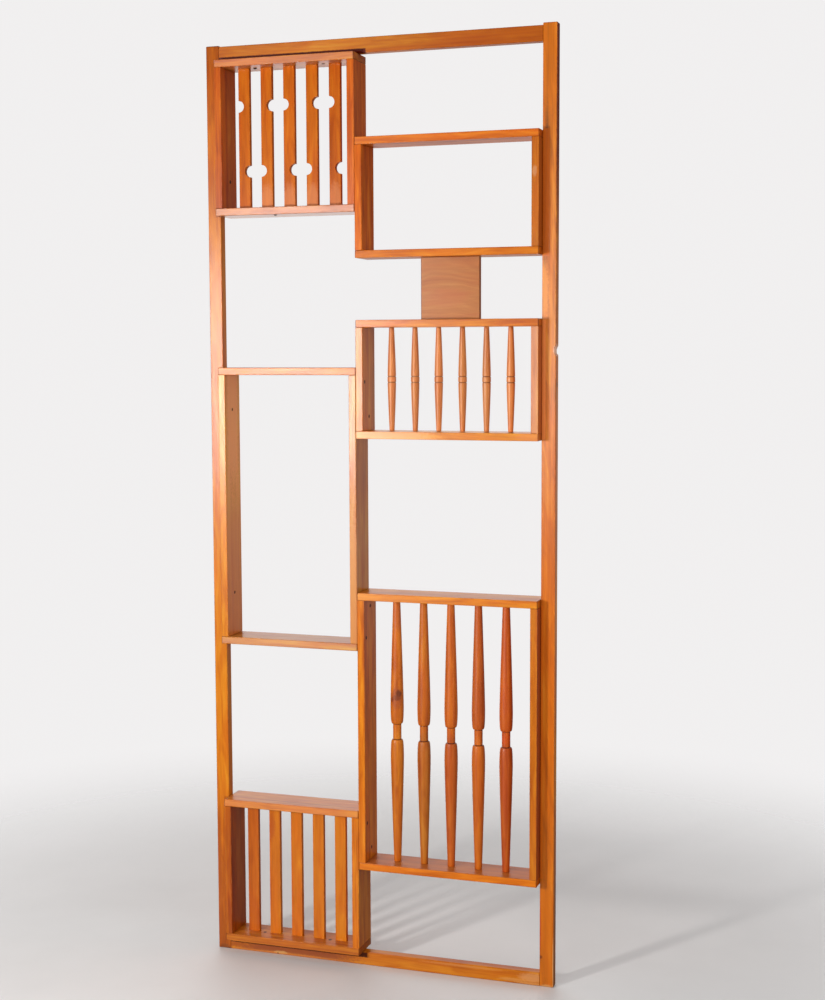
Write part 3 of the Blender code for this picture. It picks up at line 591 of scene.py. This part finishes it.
dress_board("bottom_rail", "x", **dict(GOLDEN, tone=0.90, gloss=0.4, warm=-0.02), fade=((0.0, 0.05), (0.3, 0.0), (0.9, 0.0), (1.0, 0.12)),
            # the first three marks are painted light and shade: the shadow the plain slat box casts on the rail, the
            # lit strip left along the rail's bottom edge, and a darker painted shadow right under the box
            marks=[((-0.2400, FRONT, 0.0160), (0.2150, 0.010, 0.0400), (0.26, 0.055, 0.014), 0.85, "square"),
                   ((-0.2600, FRONT, 0.0020), (0.2300, 0.010, 0.0070), (0.62, 0.190, 0.030), 0.70),
                   ((-0.2400, FRONT, 0.0270), (0.2050, 0.010, 0.0080), (0.060, 0.006, 0.001), 0.92, "crisp"),
                   ((-0.2830, FRONT, 0.0066), (0.0260, 0.008, 0.0050), (0.72, 0.40, 0.13), 0.55),
                   ((-0.2917, FRONT, 0.0030), (0.0032, 0.006, 0.0030), (0.10, 0.040, 0.015), 0.80),
                   ((0.4100, FRONT, 0.0200), (0.0450, 0.010, 0.0150), (0.76, 0.40, 0.17), 0.42),
                   ((0.3600, FRONT, 0.0090), (0.0500, 0.010, 0.0060), (0.72, 0.34, 0.10), 0.40),
                   ((0.2200, FRONT, 0.0290), (0.1400, 0.010, 0.0040), (0.70, 0.32, 0.10), 0.35),
                   ((0.4110, FRONT, 0.0040), (0.0600, 0.010, 0.0040), (0.74, 0.38, 0.13), 0.45)])
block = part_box("connector_block")
dress_board("connector_block", "x", tone=0.735, warm=0.0, figure=1.5, cloudy=0.8, wave=2.2, ring=0.40, gloss=0.8,
            stain=((0.00, (0.42, 0.120, 0.030)), (0.35, (0.55, 0.180, 0.042)), (0.65, (0.64, 0.235, 0.056)), (1.00, (0.76, 0.330, 0.090))),
            knots=(((block[0].x + 0.104, -0.0065, 1.752), (0.066, 0.30, 0.050)),),
            marks=[((block[0].x + 0.070, FRONT, 1.745), (0.075, 0.030, 0.032), (0.50, 0.135, 0.045), 0.35),
                   ((block[0].x + 0.075, FRONT, block[0].z + 0.001), (0.120, 0.030, 0.0035), (0.14, 0.035, 0.008), 0.75)])
for i in range(5):
    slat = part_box("notched_slat_%d" % (i + 1))
    # painted sheen: a pale pinkish tint over the lower ends of every slat but the first
    sheen_foot = ((slat[0].x + slat[1].x) / 2, slat[0].y, slat[0].z + 0.030)
    marks = [(sheen_foot, (0.022, 0.010, 0.052), (0.74, 0.30, 0.13), 0.0 if i == 0 else 0.38)]
    if i == 1:
        marks.append(((-0.3290, slat[0].y, 2.053), (0.0060, 0.010, 0.050), (0.55, 0.075, 0.006), 0.45))
    dress_board("notched_slat_%d" % (i + 1), "z", **dict(RED, tone=(0.92, 0.95, 0.98, 0.93, 0.90)[i], gloss=0.45, figure=0.6, cloudy=0.8),
                slant=(0.03, -0.05, 0.02, 0.0, 0.04)[i], marks=marks)
    dress_board("plain_slat_%d" % (i + 1), "z", **dict((DEEP, PLAIN, PLAIN, PLAIN, GOLDEN)[i], tone=(0.92, 0.98, 1.02, 0.98, 1.0)[i], **CALM),
                marks=[((-0.3120, -0.0065, 0.345), (0.0180, 0.020, 0.050), (0.42, 0.070, 0.008), 0.55)] if i == 1 else ())


def revolved(profile, sides):
    """Profile of (radius, height) points turned round the z axis."""
    bm = bmesh.new()
    verts = [bm.verts.new((r, 0.0, z)) for r, z in profile]
    for a, b in zip(verts, verts[1:]):
        bm.edges.new((a, b))
    bmesh.ops.spin(bm, geom=bm.verts[:] + bm.edges[:], cent=(0, 0, 0), axis=(0, 0, 1), dvec=(0, 0, 0),
                   angle=2 * math.pi, steps=sides, use_merge=True, use_duplicate=False)
    bmesh.ops.remove_doubles(bm, verts=bm.verts, dist=1e-6)
    bmesh.ops.recalc_face_normals(bm, faces=bm.faces)
    return bm


def turned_piece(name, node, profile, sides, mat):
    """A fine turned shape that stands for a faceted CAD node."""
    lo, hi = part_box(node)
    centre = (lo + hi) / 2
    bm = revolved(profile, sides)
    mesh = bpy.data.meshes.new(name)
    bm.transform(Matrix.Translation(centre))
    bm.to_mesh(mesh)
    bm.free()
    obj = bpy.data.objects.new(name, mesh)
    finish.objects.link(obj)
    mesh.shade_smooth()
    mesh.set_sharp_from_angle(angle=math.radians(38))
    dress(obj, mat)
    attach(obj, "root")
    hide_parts(node)
    return obj


def closed(half, pin_r, pin_l, half_l):
    """Profile top to bottom from (distance from the middle, radius) of one half."""
    tip = half_l + pin_l
    head = [(0.0, tip), (pin_r - 0.0006, tip), (pin_r, tip - 0.0012), (pin_r, half_l)]
    upper = [(r, s) for s, r in reversed(half)]
    lower = [(r, -s) for s, r in half]
    if half[0][0] == 0.0:
        lower = lower[1:]
    return head + upper + lower + [(r, -z) for r, z in reversed(head)]


def spindle_half(half_l):
    def radius(s):
        return 0.0109 - (0.0109 - 0.0064) * (s / half_l) ** 1.3

    groove, wide, deep = 0.0075, 0.0015, 0.0012
    points = [(0.0, radius(0)), (0.003, radius(0.003) + 0.0001), (groove - wide, radius(groove) + 0.0001)]
    for k in range(1, 8):
        s = groove - wide + 2 * wide * k / 8
        points.append((s, radius(groove) - deep * math.sin(math.pi * k / 8)))
    points.append((groove + wide, radius(groove + wide)))
    start, steps = groove + wide, 34
    for k in range(1, steps + 1):
        s = start + (half_l - 0.0006 - start) * k / steps
        points.append((s, radius(s)))
    points.append((half_l - 0.0002, radius(half_l) - 0.0002))
    points.append((half_l, radius(half_l) - 0.0006))
    return points


def baluster_half(half_l):
    waist, waist_r, shoulder, belly = 0.0195, 0.0109, 0.0146, 0.070
    big, small = 0.01725, 0.0093
    points = [(0.0, waist_r - 0.0001), (0.008, waist_r), (waist - 0.0012, waist_r), (waist - 0.0006, waist_r - 0.0006),
              (waist, waist_r - 0.0007), (waist + 0.0006, waist_r - 0.0002), (waist + 0.0012, waist_r + 0.0012)]
    # rounded shoulder, then a quarter ellipse out to the belly
    for k in range(1, 6):
        a = math.pi / 2 * k / 5
        points.append((waist + 0.0012 + 0.0028 * (1 - math.cos(a)), waist_r + 0.0012 + (shoulder - waist_r - 0.0012) * math.sin(a)))
    start = waist + 0.0040
    for k in range(1, 15):
        f = (k / 14) ** 1.6
        points.append((start + (belly - start) * f, shoulder + (big - shoulder) * math.sqrt(1 - (1 - f) ** 2)))
    for k in range(1, 33):
        f = k / 32
        points.append((belly + (half_l - 0.0006 - belly) * f, big - (big - small) * f ** 1.15))
    points.append((half_l - 0.0002, small - 0.0002))
    points.append((half_l, small - 0.0006))
    return points


def turned_row(stem, count, half_l, half, pin_r, pin_l, looks, bands):
    profile = closed(half(half_l), pin_r, pin_l, half_l)
    for i in range(count):
        node = "%s_%d" % (stem, i + 1)
        lo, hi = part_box(node)
        mat = wood("finish_" + node, lo, hi, "z", seed=900 + 17 * i + count, turned=True, wave=1.2, ring=0.8,
                   rough=0.42, bands=bands, **looks[i])
        turned_piece("turned_" + node, node, profile, 56, mat)


PINK = dict(shift=0.04, warm=0.0, gloss=1.3,
            stain=((0.00, (0.36, 0.085, 0.014)), (0.25, (0.50, 0.135, 0.026)), (0.50, (0.61, 0.190, 0.040)),
                   (0.75, (0.70, 0.250, 0.060)), (1.00, (0.79, 0.340, 0.100))))
turned_row("spindle", 6, 0.1307, spindle_half, 0.0045, 0.008,
           [dict(PINK, tone=0.94, warm=0.02), dict(PINK, tone=0.94, warm=-0.02), dict(PINK, tone=1.0), dict(PINK, tone=0.97, warm=-0.06),
            dict(PINK, tone=0.86, shift=0.10), dict(PINK, tone=1.10, warm=0.02)],
           bands=((0.0075, 0.0018, 0.62), (-0.0075, 0.0018, 0.62)))
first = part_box("baluster_1")
knot_at = ((first[0].x + first[1].x) / 2 + 0.005, -0.0155, 0.7215)
beside_knot = (knot_at[0] + 0.004, -0.0150, 0.7330)
turned_row("baluster", 5, 0.3442, baluster_half, 0.006, 0.011,
           [dict(tone=1.04, warm=-0.02, halves=((1.04, 1.16, 1.5), (1.0, 0.96, 1.0)),
                 knots=((knot_at, (0.012, 0.02, 0.016)),),
                 marks=((knot_at, (0.020, 0.022, 0.036), (0.36, 0.070, 0.012), 0.75),
                        (beside_knot, (0.010, 0.016, 0.012), (0.100, 0.020, 0.008), 0.75),
                        (knot_at, (0.013, 0.018, 0.010), (0.200, 0.040, 0.012), 0.75),
                        ((knot_at[0] - 0.013, -0.010, 0.716), (0.006, 0.016, 0.010), (0.20, 0.036, 0.008), 0.80),
                        ((knot_at[0], -0.010, 0.930), (0.020, 0.020, 0.045), (0.50, 0.100, 0.020), 0.55))),
            dict(tone=0.88, warm=0.0, halves=((0.88, 0.94, 1.8), (1.02, 0.96, 1.0))),
            dict(tone=0.95, warm=0.14, halves=((0.86, 0.78, 1.3), (1.06, 1.04, 1.0))),
            dict(tone=0.88, warm=0.16, halves=((1.04, 1.06, 1.0), (0.94, 0.84, 1.2))),
            dict(tone=0.85, warm=0.24, halves=((0.92, 0.80, 1.1), (1.08, 0.96, 1.0)),
                 marks=(((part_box("baluster_5")[0].x + 0.017, 0.0, 0.6310), (0.030, 0.030, 0.019), (0.62, 0.080, 0.003), 0.70),))],
           bands=((0.0200, 0.0015, 0.85), (-0.0200, 0.0015, 0.85)))


# ================================================================== screws
STEEL = steel("finish_screw", 3.0)


def countersunk(head=0.0040, sunk=0.0002):
    """Countersunk wood screw; the board's face is at height 0 and the tip is below."""
    shank, length = 0.0020, 0.032
    profile = [(0.0, -sunk), (head - 0.0003, -sunk), (head, -sunk - 0.0002), (head, -sunk - 0.0003),
               (shank, -sunk - 0.0003 - (head - shank)), (shank, -0.0105)]
    z, k = -0.0105, 0
    while z > -length + 0.0052:
        profile.append((shank * (0.80 if k % 2 else 1.0), z - 0.00055))
        z -= 0.00055
        k += 1
    return profile + [(0.0004, -length + 0.0004), (0.0, -length)]


ROUND_HEAD = [(0.0, 0.0026), (0.0012, 0.00255), (0.0023, 0.0023), (0.0032, 0.0018), (0.0039, 0.0010), (0.0042, 0.0003), (0.0042, 0.00008), (0.0, 0.00008)]


def pan_head(head, high):
    """Dark screw whose low domed head stands proud of the board's face."""
    dome = [(head * math.sin(a), 0.0001 + high * math.cos(a)) for a in (0.0, 0.3, 0.6, 0.9, 1.2, 1.45)]
    return dome + [(head, 0.0001), (0.0020, 0.0001)] + countersunk()[5:]


def screw_piece(name, point, drive, node=None, turn=0.4, profile=None):
    """Screw with a slotted head; drive is the way it goes in."""
    bm = revolved(profile or countersunk(), 40)
    mesh = bpy.data.meshes.new(name)
    bm.to_mesh(mesh)
    bm.free()
    obj = bpy.data.objects.new(name, mesh)
    finish.objects.link(obj)
    cut = bmesh.new()
    bmesh.ops.create_cube(cut, size=1.0, matrix=Matrix.Translation((0.0, 0.0, profile[0][1] if profile else 0.0)) @ Matrix.Rotation(turn, 4, "Z") @ Matrix.Diagonal((0.0011, 0.0120, 0.0026, 1.0)))
    cut_mesh = bpy.data.meshes.new(name + "_slot")
    cut.to_mesh(cut_mesh)
    cut.free()
    cutter = bpy.data.objects.new(name + "_slot", cut_mesh)
    helpers.objects.link(cutter)
    boolean = obj.modifiers.new("slot", "BOOLEAN")
    boolean.solver = "EXACT"
    boolean.operation = "DIFFERENCE"
    boolean.object = cutter
    bpy.context.view_layer.update()
    done = bpy.data.meshes.new_from_object(obj.evaluated_get(bpy.context.evaluated_depsgraph_get()))
    obj.modifiers.clear()
    obj.data = done
    bpy.data.objects.remove(cutter)
    turn_to = Vector((0, 0, -1)).rotation_difference(Vector(drive)).to_matrix().to_4x4()
    done.transform(Matrix.Translation(Vector(point)) @ turn_to)
    done.shade_smooth()
    done.set_sharp_from_angle(angle=math.radians(30))
    dress(obj, STEEL)
    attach(obj, "root")
    if node:
        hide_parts(node)
    return obj


for i, (name, _, point, way, node) in enumerate(SCREWS):
    screw_piece(name, point, way, node, turn=0.3 + 1.1 * i, profile=None if way != UP else pan_head(0.0052, 0.0030) if name.endswith("_1") else pan_head(0.0047, 0.0014))
screw_piece("round_head_screw_under_notched_slat_box", (-0.2680, -0.0300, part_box("notched_slat_box_bottom_board")[0].z),
            (0, 0, 1), turn=0.7, profile=ROUND_HEAD)

# ================================================================== camera
camera = bpy.data.objects.new("camera", bpy.data.cameras.new("camera"))
studio.objects.link(camera)
scene.camera = camera
camera.data.sensor_width = 36.0
camera.data.lens = 58.21
camera.data.clip_end = 60.0
yaw, pitch, roll = math.radians(18.3232), math.radians(-5.2626), math.radians(-0.1987)
forward = Vector((-math.sin(yaw) * math.cos(pitch), math.cos(yaw) * math.cos(pitch), math.sin(pitch)))
side = Vector((math.cos(yaw), math.sin(yaw), 0.0))
upward = side.cross(forward)
side, upward = side * math.cos(roll) + upward * math.sin(roll), upward * math.cos(roll) - side * math.sin(roll)
turn = Matrix((side, upward, -forward)).transposed().to_4x4()
camera.matrix_world = Matrix.Translation((1.3798, -3.8978, 1.6119)) @ turn

# ================================================================== studio
scene.view_settings.view_transform = "Standard"
scene.view_settings.look = "None"

world = bpy.data.worlds.new("studio_walls")
scene.world = world
world.use_nodes = True
wt = world.node_tree
background = wt.nodes["Background"]
background.inputs["Color"].default_value = (1.0, 0.985, 0.985, 1.0)


def sky(kind, **settings):
    node = wt.nodes.new(kind)
    for key, value in settings.items():
        setattr(node, key, value)
    return node


def sky_math(operation, a, b):
    node = sky("ShaderNodeMath", operation=operation)
    for socket, value in zip(node.inputs, (a, b)):
        if isinstance(value, float):
            socket.default_value = value
        else:
            wt.links.new(value, socket)
    return node.outputs[0]


def sky_span(value, lo, hi):
    node = sky("ShaderNodeMapRange", interpolation_type="SMOOTHSTEP")
    wt.links.new(value, node.inputs["Value"])
    node.inputs["From Min"].default_value = lo
    node.inputs["From Max"].default_value = hi
    return node.outputs[0]


# what the wood reflects: a bright wall behind and to the left, a weaker one behind and
# to the right, a soft glow from the right and from above, and a dim room in front
way = sky("ShaderNodeSeparateXYZ")
wt.links.new(sky("ShaderNodeTexCoord").outputs["Generated"], way.inputs[0])
x, y, z = way.outputs
behind = sky_span(y, 0.25, 0.75)
lit_wall = sky_math("MULTIPLY", behind, sky_span(x, 0.14, -0.18))
right_wall = sky_math("MULTIPLY", sky_math("MULTIPLY", behind, sky_span(x, 0.0, 0.22)),
                      sky_math("MULTIPLY", sky_span(z, -0.26, -0.10), sky_span(z, 0.10, -0.02)))
right_glow = sky_math("MULTIPLY", sky_span(x, 0.15, 0.75), sky_span(y, 0.75, 0.15))
glow = sky_math("ADD", sky_math("MULTIPLY", lit_wall, 1.7), sky_math("MULTIPLY", right_glow, 0.46))
glow = sky_math("ADD", glow, sky_math("MULTIPLY", right_wall, 0.50))
glow = sky_math("ADD", glow, sky_math("MULTIPLY", sky_span(z, 0.35, 0.95), 0.25))
glow = sky_math("ADD", glow, 0.06)
pick = sky("ShaderNodeMix", data_type="FLOAT")
wt.links.new(sky("ShaderNodeLightPath").outputs["Is Camera Ray"], pick.inputs[0])
wt.links.new(glow, pick.inputs[2])
pick.inputs[3].default_value = 0.88
wt.links.new(pick.outputs[0], background.inputs["Strength"])


def softbox(name, position, target, width, height, power, colour=(1.0, 0.97, 0.94)):
    data = bpy.data.lights.new(name, "AREA")
    data.shape = "RECTANGLE"
    data.size, data.size_y = width, height
    data.energy = power
    data.color = colour
    obj = bpy.data.objects.new(name, data)
    studio.objects.link(obj)
    aim = (Vector(target) - Vector(position)).to_track_quat("-Z", "Y")
    obj.matrix_world = Matrix.Translation(position) @ aim.to_matrix().to_4x4()
    return obj


# the key shapes the wood and its shadows, the fills open them, and the two windows only
# put their soft reflections on the varnish
key = softbox("key", (-1.42, -3.0, 1.38), (0.0, 0.0, 1.30), 0.26, 0.26, 66)
key.visible_glossy = False
fill = softbox("fill", (0.4, -6.2, 2.0), (0.0, 0.0, 1.2), 4.5, 3.0, 180)
fill.visible_glossy = False
window = softbox("window", (-1.50, -3.0, 1.52), (0.0, 0.0, 1.52), 0.9, 1.0, 92)
window.visible_diffuse = False
side_window = softbox("side_window", (-0.35, -3.0, 1.46), (0.35, 0.0, 1.46), 0.9, 0.5, 3)
side_window.visible_diffuse = False
right_fill = softbox("right_fill", (3.4, -1.8, 1.42), (-0.2, 0.0, 1.35), 0.8, 0.8, 0.30)
right_fill.data.spread = math.radians(30)
right_fill.visible_glossy = False
right_spot = softbox("right_spot", (3.4, -1.8, 1.50), (-0.41, 0.0, 1.47), 0.4, 0.4, 0.12)
right_spot.data.spread = math.radians(14)
right_spot.visible_glossy = False

floor_mesh = bpy.data.meshes.new("floor")
bm = bmesh.new()
bmesh.ops.create_circle(bm, cap_ends=True, segments=96, radius=7.0)
bm.to_mesh(floor_mesh)
bm.free()
floor = bpy.data.objects.new("floor", floor_mesh)
studio.objects.link(floor)
fn = Nodes("studio_floor")
spot = fn.add("ShaderNodeTexCoord").outputs["Object"]
far = fn.vec("LENGTH", spot)
speck = fn.noise(spot, 3.0, 4.0, 0.55)
seen = fn.add("ShaderNodeLightPath").outputs["Is Camera Ray"]
pale = fn.ramp(speck, [(0.3, (0.77, 0.76, 0.755)), (0.7, (0.81, 0.80, 0.795))])
fn.put(fn.shader.inputs["Base Color"], fn.mix(seen, (0.26, 0.25, 0.245), pale))
fn.shader.inputs["Roughness"].default_value = 0.6
clear = fn.add("ShaderNodeBsdfTransparent")
blend = fn.add("ShaderNodeMixShader")
fn.put(blend.inputs[0], fn.span(far, 0.7, 2.6, 0.0, 1.0))
fn.put(blend.inputs[1], fn.shader.outputs[0])
fn.put(blend.inputs[2], clear.outputs[0])
fn.put(fn.tree.nodes["Material Output"].inputs["Surface"], blend.outputs[0])
floor.data.materials.append(fn.mat)
